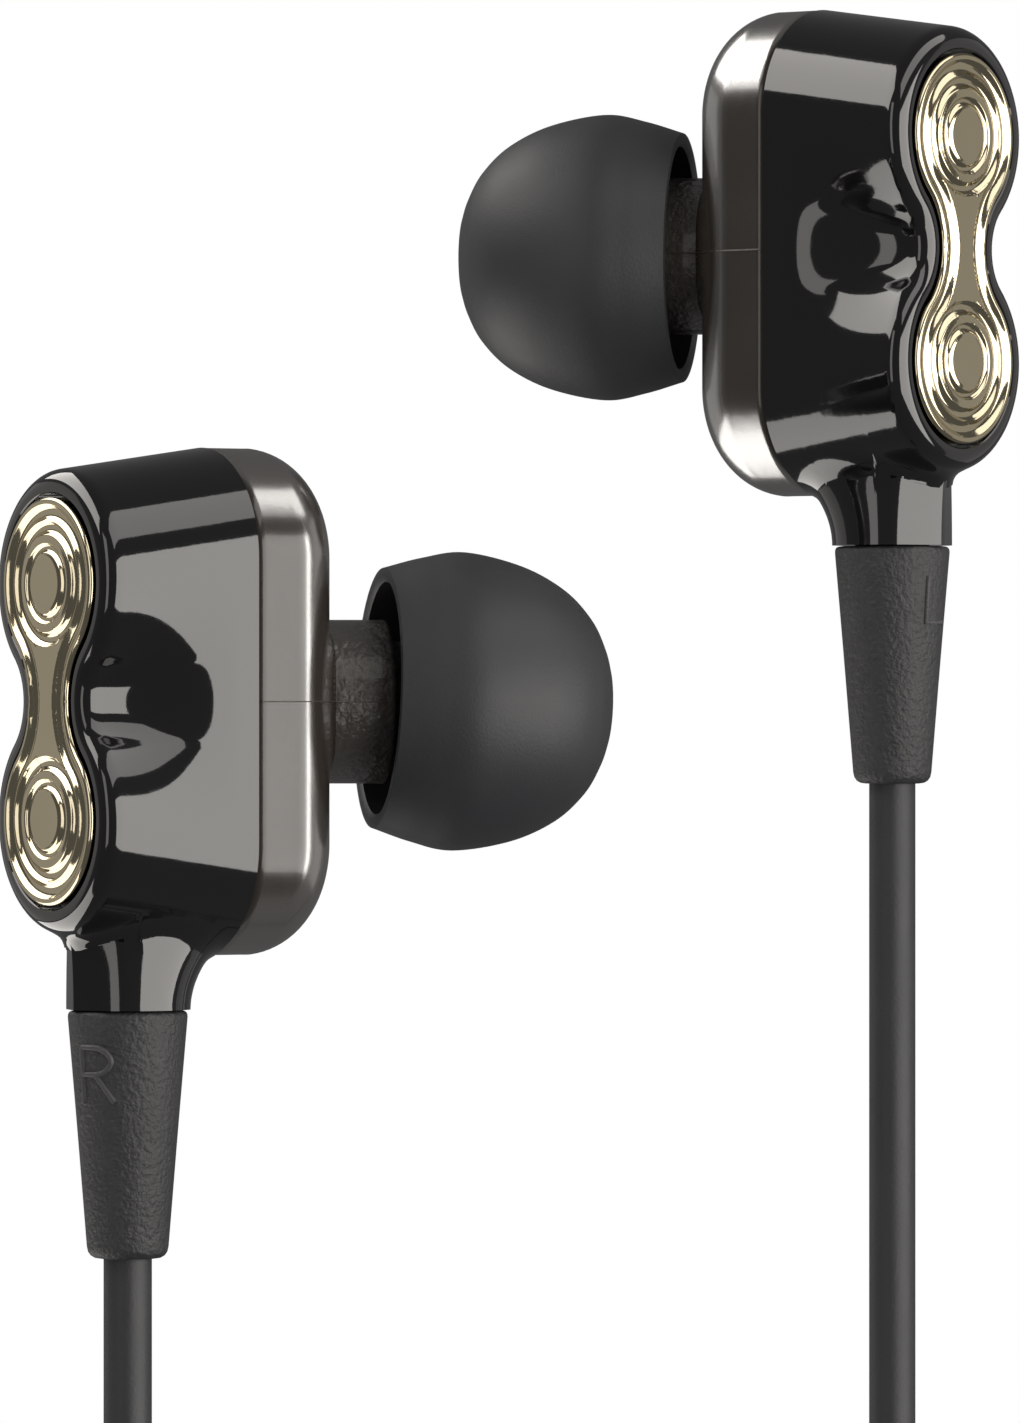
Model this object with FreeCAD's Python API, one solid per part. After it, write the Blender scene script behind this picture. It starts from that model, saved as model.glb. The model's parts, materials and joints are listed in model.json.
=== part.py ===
import FreeCAD, Part
import math
import os

# A pair of in ear monitors on one cord, as they are worn: each earpiece upright, its cord hanging down.
# Lengths are in millimetres. +X runs from the right earpiece to the left one, +Y towards the ears, +Z up.
# The origin is on the right nozzle's axis, where the right ear tip is widest.
#
# One earpiece is built in its own frame: x from the faceplate to the ear, y sideways, z up, with 0 at the middle
# of the faceplate. The left earpiece is the mirror image of the right one.

V = FreeCAD.Vector
O = V(0, 0, 0)

# Where each earpiece stands, and how far its front is turned away from +X or -X.
PLATE_CENTRE = {"right": V(-16.76, -7.48, 0), "left": V(21.64, 11.22, 19.48)}
YAW = {"right": 33.0, "left": -38.0}
# The soft tips sit a little askew on their barbs: sideways and upwards in degrees, then the skirt's distance
# from the shell's back face.
TIP_SEAT = {"right": (3.0, -2.5, 3.45), "left": (-3.5, 0.5, 2.65)}

# Casing: a figure 8 at its front, drawn by two end circles and a hollow waist arc on each side, that fades into
# a plain stadium shape further back.
END_RADIUS = 4.65
FRONT_SPACING = 4.85        # from the middle to the centre of an end circle, at the front
SEAM_SPACING = 5.9          # the same at the seam between the two shells
WAIST_ARC = 2.19
WAIST_DEPTH = 6.3           # how far back the waist fades out
SEAM = 7.3                  # depth of the seam between the two shells
BACK = 11.9                 # depth of the flat back face
BACK_ROUNDING = 2.75
RIM_ROUNDING = 0.7
WALL = 0.9
FRONT_WALL_END = 1.4        # the front wall's inner face
SPIGOT = 0.7                # the inner shell's lip inside the outer shell
SPIGOT_WALL = 0.45
SPIGOT_ROOT = 0.2
SEAT_CLEARANCE = 0.05

# Faceplate
PLATE_RADIUS = 3.55
PLATE_PROUD = 0.2
PLATE_RECESS = 0.6
PLATE_GAP = 0.17
PLATE_GROOVES = ((2.6, 2.02), (1.66, 1.28))
GROOVE_DEPTH = 0.15

# Cable boss, strain relief and cord
CORD_RADIUS = 1.0
CORD_DEPTH = 3.75           # depth of the cord's axis behind the faceplate
BOSS_RADIUS = 2.6
BOSS_ROOT_RADIUS = 3.05
BOSS_ROOT_SHIFT = 0.4
BOSS_ROOT_DROP = 9.3
BOSS_END = 12.72            # below the faceplate's middle
RELIEF_GAP = 0.13
RELIEF_LENGTH = 10.15
RELIEF_TOP_RADIUS = 2.5
RELIEF_END_RADIUS = 1.65
STEM_RADIUS = 1.6
STEM_LENGTH = 2.0
RELIEF_END_ROUNDING = 0.45
CORD_CLEARANCE = 0.03
CLAMP_RADIUS = 1.45
CLAMP_HEIGHT = 0.9
CLAMP_FLOOR_GAP = 0.05

# Nozzle
CANT = 24.5
COLLAR_RADIUS = 3.42
COLLAR_LENGTH = 3.8
BARREL_RADIUS = 2.5
BARREL_LENGTH = 5.4
BARB_RADIUS = 2.75
BARB_START = 6.6
BARB_LENGTH = 1.0
NOZZLE_BORE = 1.9
GUARD_RADIUS = 2.1
GUARD_THICKNESS = 0.3
GUARD_HOLE_RADIUS = 0.35
GUARD_HOLE_CIRCLE = 1.2
GUARD_OUTER_HOLES = 6
FOAM_LENGTH = 1.5

# Ear tip, along its own axis from the skirt's rim
TIP_OUTLINE = ((0.0, 5.45), (1.65, 5.95), (3.4, 6.25), (5.8, 5.78),
               (7.6, 4.9), (8.75, 3.8), (9.35, 2.75), (9.62, 2.0))
TIP_SKIN = 0.62
TIP_CORE_START = 1.7
TIP_CORE_WALL = 0.62
TIP_BORE_END = 7.3
TIP_OUTLET_RADIUS = 1.75

# The two drivers
DRIVER_SPACING = 4.6        # from the middle to each driver's axis
BASKET_RADIUS = 3.3
BASKET_REAR = 3.6
BASKET_WALL = 0.25
BASKET_SEAT = 0.3
CARRIER_THICKNESS = 0.7
YOKE_RADIUS = 2.1
YOKE_REAR = 2.7
YOKE_WALL = 0.32
YOKE_LENGTH = 1.6
MAGNET_RADIUS = 1.25
MAGNET_LENGTH = 0.8
POLE_RADIUS = 1.3
POLE_THICKNESS = 0.35
COIL_INNER = 1.42
COIL_OUTER = 1.62
COIL_START = 3.75
DIAPHRAGM_AT = 5.3
DIAPHRAGM_THICKNESS = 0.08
BOARD = (0.4, 3.0, 1.9)
WIRE_RADIUS = 0.13
WIRE_REAR_GAP = 0.35         # between the yokes' rear and the wires that pass behind them
WIRE_SPREAD = 0.45

# The cords' routes below each earpiece, straight down to the pair of parallel cords, and on to the wound coil.
PAIR_X = 2.5
PAIR_Y = {"right": 2.95, "left": 5.05}
CORD_BEND_Z = -37.0
PAIR_TOP_Z = -57.0
PAIR_END_Z = -95.0
PAIR_RUN = 20.0
CORD_PITCH = 2.1
COIL_CENTRE = V(18.5, 0.85, -110.15)
COIL_LAYER_RADII = (8.85, 15.15)
COIL_HALF_WIDTH = 5.25
SPLIT_SIZE = (10.0, 4.6, 2.8)
SPLIT_DROP = 4.3
SPLIT_Y = 4.0
SPLIT_BEND = 3.85
SPLIT_ROUNDING = 0.5
MAIN_Y = -3.35
SLIDER_SIZE = (3.4, 6.0, 7.0)
SLIDER_LOW_Z = -85.5
SLIDER_ROUNDING = 1.0
TIE_WIDTH = 5.0
TIE_THICKNESS = 1.0
TIE_CLEARANCE = 0.15

# Plug, hanging from the coil
BOOT_DROP = 10.0            # below the coil's middle
BOOT_LENGTH = 8.0
BOOT_RADII = (1.6, 2.6)
GRIP_LENGTH = 16.0
GRIP_RADIUS = 3.25
GRIP_ROUNDING = 0.8
PIN_RADIUS = 1.75
PIN_LENGTH = 14.0
SLEEVE_LENGTH = 7.0
BAND_LENGTH = 0.6
RING_LENGTH = 2.4
PIN_CORE_RADIUS = 0.5


def polar(radius, degrees):
    return radius * math.cos(math.radians(degrees)), radius * math.sin(math.radians(degrees))


def cylinder(radius, start, end):
    along = end - start
    return Part.makeCylinder(radius, along.Length, start, along)


def tube(outer, inner, start, end):
    return cylinder(outer, start, end).cut(cylinder(inner, start, end))


def cone(radius_1, radius_2, start, end):
    along = end - start
    return Part.makeCone(radius_1, radius_2, along.Length, start, along)


def turned(profile, z=0.0):
    """A solid turned about the local x axis at height z, from (x, radius) points."""
    points = [V(x, 0, z + radius) for x, radius in profile]
    face = Part.Face(Part.makePolygon(points + points[:1]))
    return face.revolve(V(0, 0, z), V(1, 0, 0), 360)


def end_spacing(depth):
    return FRONT_SPACING + (SEAM_SPACING - FRONT_SPACING) * min(depth, SEAM) / SEAM


def half_width(height, depth, inset):
    """Half the casing's width at a height and depth, inside an offset of its outline."""
    spacing = end_spacing(depth)
    radius = END_RADIUS - inset
    above = abs(height)
    if above >= spacing:
        return math.sqrt(max(radius ** 2 - (above - spacing) ** 2, 0))
    arc = WAIST_ARC + inset
    arc_centre = math.sqrt((END_RADIUS + WAIST_ARC) ** 2 - spacing ** 2)
    tangent = spacing * arc / (radius + arc)
    if above < tangent:
        pinched = arc_centre - math.sqrt(arc ** 2 - above ** 2)
    else:
        pinched = math.sqrt(radius ** 2 - (above - spacing) ** 2)
    fade = math.cos(math.pi / 2 * min(max(depth, 0) / WAIST_DEPTH, 1)) ** 2
    return radius - fade * (radius - pinched)


def casing_section(depth, inset):
    """The casing's closed outline at a depth, as one smooth wire."""
    spacing = end_spacing(depth)
    radius = END_RADIUS - inset
    side_steps = 12
    heights = [spacing * (1 - 2 * step / side_steps) for step in range(side_steps)]
    side = [(half_width(height, depth, inset), height) for height in heights]
    bottom = [polar(radius, -18 * step) for step in range(10)]
    half = side + [(y, z - spacing) for y, z in bottom]
    points = half + [(-y, -z) for y, z in half]
    curve = Part.BSplineCurve()
    curve.interpolate(Points=[V(depth, y, z) for y, z in points], PeriodicFlag=True)
    return Part.Wire(curve.toShape())


def casing(sections):
    return Part.makeLoft([casing_section(depth, inset) for depth, inset in sections], True, False)


def rounded_back(inset, back):
    """Sections from the seam to the back face, with the back edge rounded."""
    rounding = BACK_ROUNDING - inset
    straight = back - rounding
    sections = [(SEAM, inset), ((SEAM + straight) / 2, inset), (straight, inset)]
    for degrees in (25, 45, 62, 76, 90):
        across, along = polar(rounding, degrees)
        sections.append((straight + along, inset + rounding - across))
    return sections


def plate_outline(depth, radius):
    """The faceplate's figure 8, of six tangent arcs."""
    waist = END_RADIUS + WAIST_ARC - radius
    centre_y = math.sqrt((END_RADIUS + WAIST_ARC) ** 2 - FRONT_SPACING ** 2)
    share = radius / (radius + waist)
    touch_y, touch_z = centre_y * share, FRONT_SPACING * (1 - share)
    top = FRONT_SPACING + radius
    corners = [V(depth, touch_y, touch_z), V(depth, -touch_y, touch_z)]
    corners += [V(depth, -touch_y, -touch_z), V(depth, touch_y, -touch_z)]
    mids = [V(depth, 0, top), V(depth, waist - centre_y, 0), V(depth, 0, -top), V(depth, centre_y - waist, 0)]
    arcs = []
    for index, mid in enumerate(mids):
        arcs.append(Part.Arc(corners[index], mid, corners[(index + 1) % 4]).toShape())
    return Part.Wire(arcs)


def plate_solid(radius, start, end):
    return Part.Face(plate_outline(start, radius)).extrude(V(end - start, 0, 0))


NOZZLE_ROOT = V(BACK, 0, 0)
NOZZLE_WAY = V(math.cos(math.radians(CANT)), -math.sin(math.radians(CANT)), 0)


def on_nozzle(distance):
    return NOZZLE_ROOT + NOZZLE_WAY * distance


def clamp_top():
    """How far below the faceplate's middle the cord clamp's top is: it stands on the casing's floor."""
    return end_spacing(CORD_DEPTH) + END_RADIUS - WALL - CLAMP_FLOOR_GAP - CLAMP_HEIGHT


def below(drop, depth=CORD_DEPTH):
    return V(depth, 0, -drop)


def faceplate():
    plate = plate_solid(PLATE_RADIUS, -PLATE_PROUD, PLATE_RECESS)
    for height in (FRONT_SPACING, -FRONT_SPACING):
        for outer, inner in PLATE_GROOVES:
            plate = plate.cut(tube(outer, inner, V(-PLATE_PROUD, 0, height),
                                   V(GROOVE_DEPTH - PLATE_PROUD, 0, height)))
    return plate


def outer_shell():
    rim = [(RIM_ROUNDING * (1 - math.sin(math.radians(a))), RIM_ROUNDING * (1 - math.cos(math.radians(a))))
           for a in (90, 60, 30, 0)]
    depths = (1.7, 3.0, 4.2, 5.3, 6.3, SEAM)
    solid = casing(rim + [(depth, 0) for depth in depths])
    root_centre = below(BOSS_ROOT_DROP, CORD_DEPTH + BOSS_ROOT_SHIFT)
    root = Part.Wire(Part.makeCircle(BOSS_ROOT_RADIUS, root_centre, V(0, 0, 1)))
    end = Part.Wire(Part.makeCircle(BOSS_RADIUS, below(BOSS_END), V(0, 0, 1)))
    solid = solid.fuse(Part.makeLoft([end, root], True, True))
    hollow = [(depth, WALL) for depth in (FRONT_WALL_END, 3.0, 4.2, 5.3, 6.3, SEAM, SEAM + 1)]
    solid = solid.cut(casing(hollow))
    solid = solid.cut(plate_solid(PLATE_RADIUS + PLATE_GAP, -1, PLATE_RECESS))
    bore = STEM_RADIUS + SEAT_CLEARANCE
    return solid.cut(cylinder(bore, below(BOSS_END + 1), below(BOSS_ROOT_DROP - 1.2)))


def inner_shell():
    solid = casing(rounded_back(0, BACK))
    solid = solid.fuse(cylinder(COLLAR_RADIUS, on_nozzle(-2.2), on_nozzle(COLLAR_LENGTH)))
    solid = solid.cut(casing(rounded_back(WALL, BACK - WALL)))
    spigot = casing([(SEAM - SPIGOT, WALL + SEAT_CLEARANCE), (SEAM + 0.4, WALL + SEAT_CLEARANCE)])
    spigot_hole = casing([(SEAM - SPIGOT, WALL + SPIGOT_WALL), (SEAM + 0.4, WALL + SPIGOT_WALL)])
    root = casing([(SEAM, WALL - SPIGOT_ROOT), (SEAM + 0.4, WALL - SPIGOT_ROOT)])
    solid = solid.fuse(spigot.fuse(root).cut(spigot_hole))
    end = COLLAR_LENGTH + BARREL_LENGTH
    solid = solid.fuse(cylinder(BARREL_RADIUS, on_nozzle(COLLAR_LENGTH - 1), on_nozzle(end)))
    barb_end = on_nozzle(BARB_START + BARB_LENGTH)
    solid = solid.fuse(cone(BARB_RADIUS, BARREL_RADIUS, on_nozzle(BARB_START), barb_end))
    solid = solid.cut(cylinder(NOZZLE_BORE, on_nozzle(-3), on_nozzle(end + 1)))
    guard_seat = on_nozzle(end - GUARD_THICKNESS)
    return solid.cut(cylinder(GUARD_RADIUS + SEAT_CLEARANCE, guard_seat, on_nozzle(end + 1)))


def nozzle_mesh():
    end = COLLAR_LENGTH + BARREL_LENGTH
    disc = cylinder(GUARD_RADIUS, on_nozzle(end - GUARD_THICKNESS), on_nozzle(end))
    across = V(-NOZZLE_WAY.y, NOZZLE_WAY.x, 0)
    for index in range(GUARD_OUTER_HOLES + 1):
        away, up = polar(GUARD_HOLE_CIRCLE if index else 0, 360 / GUARD_OUTER_HOLES * index)
        middle = across * away + V(0, 0, up)
        hole = cylinder(GUARD_HOLE_RADIUS, on_nozzle(end - 1) + middle, on_nozzle(end + 1) + middle)
        disc = disc.cut(hole)
    return disc


def nozzle_foam():
    end = COLLAR_LENGTH + BARREL_LENGTH - GUARD_THICKNESS
    return cylinder(NOZZLE_BORE - SEAT_CLEARANCE, on_nozzle(end - FOAM_LENGTH), on_nozzle(end))


def ear_tip():
    """The tip along +x, with its skirt's rim at x = 0."""
    core_inner = BARB_RADIUS + SEAT_CLEARANCE + CORD_CLEARANCE
    core_outer = core_inner + TIP_CORE_WALL
    outside = Part.BSplineCurve()
    outside.interpolate([V(x, 0, radius) for x, radius in TIP_OUTLINE])
    inside = Part.BSplineCurve()
    skirt = [(x, radius - TIP_SKIN) for x, radius in TIP_OUTLINE[:4]] + [(TIP_BORE_END - 0.3, core_outer)]
    inside.interpolate([V(x, 0, radius) for x, radius in skirt])
    length, nose = TIP_OUTLINE[-1]
    corners = [(length, nose), (length - 0.25, TIP_OUTLET_RADIUS), (TIP_BORE_END, TIP_OUTLET_RADIUS),
               (TIP_BORE_END, core_inner), (TIP_CORE_START, core_inner), (TIP_CORE_START, core_outer),
               (TIP_BORE_END - 0.3, core_outer)]
    lines = Part.makePolygon([V(x, 0, radius) for x, radius in corners])
    rim = Part.makePolygon([V(0, 0, TIP_OUTLINE[0][1] - TIP_SKIN), V(0, 0, TIP_OUTLINE[0][1])])
    edges = rim.Edges + [outside.toShape()] + lines.Edges + [inside.toShape()]
    profile = Part.Wire(Part.__sortEdges__(edges))
    return Part.Face(profile).revolve(O, V(1, 0, 0), 360)


def seated_tip(side):
    """The tip pushed on its nozzle, turned about the barb's middle."""
    sideways, upwards, stand_off = TIP_SEAT[side]
    barb = BARB_START + BARB_LENGTH / 2
    tip = ear_tip()
    tip.translate(V(stand_off - barb, 0, 0))
    tip.rotate(O, V(0, 1, 0), -upwards)
    tip.rotate(O, V(0, 0, 1), sideways - CANT)
    tip.translate(on_nozzle(barb))
    return tip


def strain_relief():
    top = below(BOSS_END + RELIEF_GAP)
    end = below(BOSS_END + RELIEF_GAP + RELIEF_LENGTH)
    body = cone(RELIEF_TOP_RADIUS, RELIEF_END_RADIUS, top, end)
    body = body.makeFillet(RELIEF_END_ROUNDING, [edge for edge in body.Edges if abs(edge.BoundBox.ZMax - end.z) < 0.01])
    body = body.fuse(cylinder(STEM_RADIUS, top + V(0, 0, STEM_LENGTH), top - V(0, 0, 1)))
    return body.cut(cylinder(CORD_RADIUS + CORD_CLEARANCE, end - V(0, 0, 1), top + V(0, 0, STEM_LENGTH + 1)))


def cord_clamp():
    return tube(CLAMP_RADIUS, CORD_RADIUS + CORD_CLEARANCE, below(clamp_top() + CLAMP_HEIGHT), below(clamp_top()))


CARRIER_EAR_FACE = SEAM - SPIGOT
CARRIER_REAR_FACE = CARRIER_EAR_FACE - CARRIER_THICKNESS
BASKET_EAR_FACE = CARRIER_REAR_FACE + BASKET_SEAT


def driver_carrier():
    inset = WALL + 2 * SEAT_CLEARANCE
    plate = casing([(CARRIER_REAR_FACE, inset), (CARRIER_EAR_FACE, inset)])
    for height in (DRIVER_SPACING, -DRIVER_SPACING):
        hole = BASKET_RADIUS - BASKET_WALL
        plate = plate.cut(cylinder(hole, V(BASKET_REAR, 0, height), V(SEAM, 0, height)))
        plate = plate.cut(cylinder(BASKET_RADIUS + SEAT_CLEARANCE, V(BASKET_REAR, 0, height),
                                   V(BASKET_EAR_FACE, 0, height)))
    return plate


def driver_pieces(height):
    """The six pieces of one driver, turned about its axis at a height."""
    basket_inner = BASKET_RADIUS - BASKET_WALL
    yoke_hole = YOKE_RADIUS + SEAT_CLEARANCE / 2
    basket = turned([(BASKET_REAR, yoke_hole), (BASKET_REAR, BASKET_RADIUS), (BASKET_EAR_FACE, BASKET_RADIUS),
                     (BASKET_EAR_FACE, basket_inner), (BASKET_REAR + BASKET_WALL, basket_inner),
                     (BASKET_REAR + BASKET_WALL, yoke_hole)], height)
    floor = YOKE_REAR + YOKE_WALL
    yoke = turned([(YOKE_REAR, 0), (YOKE_REAR, YOKE_RADIUS), (YOKE_REAR + YOKE_LENGTH, YOKE_RADIUS),
                   (YOKE_REAR + YOKE_LENGTH, YOKE_RADIUS - YOKE_WALL), (floor, YOKE_RADIUS - YOKE_WALL),
                   (floor, 0)], height)
    magnet_end = floor + MAGNET_LENGTH
    magnet = cylinder(MAGNET_RADIUS, V(floor, 0, height), V(magnet_end, 0, height))
    pole = cylinder(POLE_RADIUS, V(magnet_end, 0, height), V(magnet_end + POLE_THICKNESS, 0, height))
    coil = tube(COIL_OUTER, COIL_INNER, V(COIL_START, 0, height), V(DIAPHRAGM_AT, 0, height))
    edge = basket_inner - 2 * SEAT_CLEARANCE
    line = [(DIAPHRAGM_AT + 0.3, 0), (DIAPHRAGM_AT + 0.2, 0.8), (DIAPHRAGM_AT, COIL_INNER),
            (DIAPHRAGM_AT, COIL_OUTER), (DIAPHRAGM_AT + 0.25, (COIL_OUTER + edge) / 2), (DIAPHRAGM_AT, edge)]
    diaphragm = turned(line + [(x + DIAPHRAGM_THICKNESS, radius) for x, radius in reversed(line)], height)
    return {"basket": basket, "yoke": yoke, "magnet": magnet, "pole_plate": pole, "voice_coil": coil,
            "diaphragm": diaphragm}


def terminal_board():
    depth, width, height = BOARD
    return Part.makeBox(depth, width, height, V(CARRIER_REAR_FACE - depth, -width / 2, -height / 2))


def bent_wire(points, radius):
    """A thin wire of straight lengths with a ball at each bend, as one solid."""
    wire = cylinder(radius, points[0], points[1])
    for start, end in zip(points[1:], points[2:]):
        wire = wire.fuse(Part.makeSphere(radius, start))
        wire = wire.fuse(cylinder(radius, start, end))
    return wire


def signal_wires():
    """Two wires from the cord to the terminal board and two on to each driver's rear."""
    wires = []
    behind = YOKE_REAR - WIRE_REAR_GAP
    board_rear = CARRIER_REAR_FACE - BOARD[0]
    for y in (-WIRE_SPREAD, WIRE_SPREAD):
        top = below(clamp_top() - SEAT_CLEARANCE)
        route = [V(CORD_DEPTH - 0.3, y, top.z), V(CORD_DEPTH - 0.3, y, top.z + 0.16), V(behind, y, top.z + 0.5),
                 V(behind, y, -0.35), V(board_rear, y, -0.35)]
        wires.append(bent_wire(route, WIRE_RADIUS))
        for height in (0.5, -0.5):
            wide = y * 3 if height > 0 else y * 2.2
            turn = 1.0 * (1 if height > 0 else -1)
            route = [V(board_rear, wide, height), V(behind + 0.6, wide, height),
                     V(BASKET_REAR - 0.15, wide, height + turn * 1.35)]
            wires.append(bent_wire(route, WIRE_RADIUS))
    return Part.makeCompound(wires)


def place(shape, side):
    """Moves a piece from the earpiece's own frame to where that earpiece stands."""
    moved = shape.mirror(O, V(1, 0, 0)) if side == "left" else shape.copy()
    moved.rotate(O, V(0, 0, 1), YAW[side])
    moved.translate(PLATE_CENTRE[side])
    return moved


def cord_exit(side):
    """The cord's axis under an earpiece, level with the faceplate's middle."""
    axis = V(CORD_DEPTH if side == "right" else -CORD_DEPTH, 0, 0)
    return FreeCAD.Rotation(V(0, 0, 1), YAW[side]).multVec(axis) + PLATE_CENTRE[side]


def cord_tube(name, points, radius):
    """A tube along straight runs joined by tangent arcs; prints its radii and compares its volume."""
    edges = []
    reach = points[0]
    for before, corner, after in zip(points, points[1:], points[2:]):
        run_in, run_out = corner - before, after - corner
        turn = run_in.getAngle(run_out)
        cut = 0.45 * min(run_in.Length, run_out.Length)
        bend = cut / math.tan(turn / 2)
        way_in, way_out = run_in.normalize(), run_out.normalize()
        start, end = corner - way_in * cut, corner + way_out * cut
        inwards = (way_out - way_in).normalize()
        middle = corner + inwards * (bend / math.cos(turn / 2) - bend)
        edges += [Part.makeLine(reach, start), Part.Arc(start, middle, end).toShape()]
        reach = end
        print(name, "bend radius", round(bend, 2), "turn", round(math.degrees(turn), 1))
    edges.append(Part.makeLine(reach, points[-1]))
    path = Part.Wire(edges)
    ring = Part.Wire(Part.makeCircle(radius, points[0], points[1] - points[0]))
    solid = path.makePipeShell([ring], True, False)
    print(name, "volume over section times length", round(solid.Volume / (math.pi * radius ** 2 * path.Length), 4))
    return solid


def branch_route(side):
    start = cord_exit(side)
    pair_y = PAIR_Y[side]
    return [V(start.x, start.y, start.z - clamp_top() - SEAT_CLEARANCE), V(start.x, start.y, CORD_BEND_Z),
            V(PAIR_X, pair_y, PAIR_TOP_Z), V(PAIR_X, pair_y, PAIR_END_Z),
            V(PAIR_X + PAIR_RUN, pair_y, PAIR_END_Z)]


def coil_blank():
    half_pitch = CORD_PITCH / 2
    low, high = COIL_LAYER_RADII
    side = V(0, COIL_HALF_WIDTH, 0)
    return tube(high + half_pitch, low - half_pitch, COIL_CENTRE - side, COIL_CENTRE + side)


def cord_coil():
    """The wound cord's outer shape, with the three ends that reach into the Y split."""
    solid = coil_blank()
    half = SPLIT_SIZE[0] / 2
    layer = COIL_LAYER_RADII[0]
    for way, y in ((1, PAIR_Y["right"]), (1, PAIR_Y["left"]), (-1, SPLIT_Y)):
        centre = V(COIL_CENTRE.x, y, COIL_CENTRE.z)
        low = centre + V(way * half, 0, -SPLIT_DROP)
        high = centre + V(way * layer, 0, SPLIT_BEND - SPLIT_DROP)
        share = SPLIT_BEND * (1 - math.sqrt(0.5))
        middle = centre + V(way * (layer - share), 0, share - SPLIT_DROP)
        path = Part.Wire([Part.Arc(low, middle, high).toShape(), Part.makeLine(high, high + V(0, 0, 1))])
        ring = Part.Wire(Part.makeCircle(CORD_RADIUS, low, V(1, 0, 0)))
        solid = solid.fuse(path.makePipeShell([ring], True, False))
    return solid


def y_split():
    length, width, height = SPLIT_SIZE
    corner = V(COIL_CENTRE.x - length / 2, SPLIT_Y - width / 2, COIL_CENTRE.z - SPLIT_DROP - height / 2)
    block = Part.makeBox(length, width, height, corner)
    return block.makeFillet(SPLIT_ROUNDING, [edge for edge in block.Edges if edge.BoundBox.XLength > length - 0.1])


def cord_slider():
    width, depth, height = SLIDER_SIZE
    middle_y = (PAIR_Y["right"] + PAIR_Y["left"]) / 2
    block = Part.makeBox(width, depth, height, V(PAIR_X - width / 2, middle_y - depth / 2, SLIDER_LOW_Z))
    block = block.makeFillet(SLIDER_ROUNDING, [edge for edge in block.Edges if edge.BoundBox.ZLength > height - 0.1])
    bore = CORD_RADIUS + 0.1
    gap = PAIR_Y["left"] - PAIR_Y["right"]
    low = SLIDER_LOW_Z - 1
    for side in ("right", "left"):
        start = V(PAIR_X, PAIR_Y[side], low)
        block = block.cut(cylinder(bore, start, start + V(0, 0, height + 2)))
    return block.cut(Part.makeBox(2 * bore, gap, height + 2, V(PAIR_X - bore, PAIR_Y["right"], low)))


def cable_tie():
    half_pitch = CORD_PITCH / 2
    low, high = COIL_LAYER_RADII
    inner_low = math.sqrt((low - half_pitch) ** 2 - (TIE_WIDTH / 2) ** 2) - TIE_CLEARANCE
    inner_high = high + half_pitch + TIE_CLEARANCE
    half_width_in = COIL_HALF_WIDTH + TIE_CLEARANCE
    hole = Part.makeBox(TIE_WIDTH + 2, 2 * half_width_in, inner_high - inner_low,
                        COIL_CENTRE + V(-TIE_WIDTH / 2 - 1, -half_width_in, inner_low))
    wall = TIE_THICKNESS
    band = Part.makeBox(TIE_WIDTH, 2 * (half_width_in + wall), inner_high - inner_low + 2 * wall,
                        COIL_CENTRE + V(-TIE_WIDTH / 2, -half_width_in - wall, inner_low - wall))
    band = band.makeFillet(wall * 0.9, [edge for edge in band.Edges if edge.BoundBox.XLength > TIE_WIDTH - 0.1])
    return band.cut(hole)


def on_plug(drop):
    """A point on the plug's axis, a distance below the coil's middle."""
    return V(COIL_CENTRE.x + COIL_LAYER_RADII[1], MAIN_Y, COIL_CENTRE.z - drop)


def main_cord():
    return cylinder(CORD_RADIUS, on_plug(4), on_plug(BOOT_DROP)).cut(coil_blank())


def plug_pieces():
    grip_top = BOOT_DROP + BOOT_LENGTH
    grip_end = grip_top + GRIP_LENGTH
    boot = cone(BOOT_RADII[0], BOOT_RADII[1], on_plug(BOOT_DROP), on_plug(grip_top))
    grip = cylinder(GRIP_RADIUS, on_plug(grip_top), on_plug(grip_end))
    grip = grip.makeFillet(GRIP_ROUNDING, [edge for edge in grip.Edges if edge.Length > 2 * GRIP_RADIUS + GRIP_LENGTH / 2
                                 and edge.BoundBox.ZLength < 0.01])
    band_1 = grip_end + SLEEVE_LENGTH
    ring_start = band_1 + BAND_LENGTH
    band_2 = ring_start + RING_LENGTH
    tip_start = band_2 + BAND_LENGTH
    end = grip_end + PIN_LENGTH
    core, liner = PIN_CORE_RADIUS, 2 * PIN_CORE_RADIUS + 0.2
    ring_liner = 0.8
    sleeve = tube(PIN_RADIUS, liner, on_plug(grip_end), on_plug(band_1))
    ring = tube(PIN_RADIUS, ring_liner, on_plug(ring_start), on_plug(band_2))
    upper = tube(PIN_RADIUS, core, on_plug(band_1), on_plug(ring_start))
    upper = upper.fuse(tube(liner, core, on_plug(grip_end), on_plug(band_1)))
    lower = tube(PIN_RADIUS, core, on_plug(band_2), on_plug(tip_start))
    lower = lower.fuse(tube(ring_liner, core, on_plug(ring_start), on_plug(band_2)))
    waist = tip_start + 0.9
    tip = cone(PIN_RADIUS, 1.15, on_plug(tip_start), on_plug(waist))
    tip = tip.fuse(cone(1.15, 1.6, on_plug(waist), on_plug(waist + 0.7)))
    tip = tip.fuse(cone(1.6, 0.45, on_plug(waist + 0.7), on_plug(end)))
    tip = tip.fuse(cylinder(core, on_plug(grip_end), on_plug(tip_start + 0.5)))
    return {"plug_boot": boot, "plug_grip": grip, "plug_sleeve_contact": sleeve, "plug_ring_contact": ring,
            "plug_tip_contact": tip, "plug_insulators": Part.makeCompound([upper, lower])}


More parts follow.
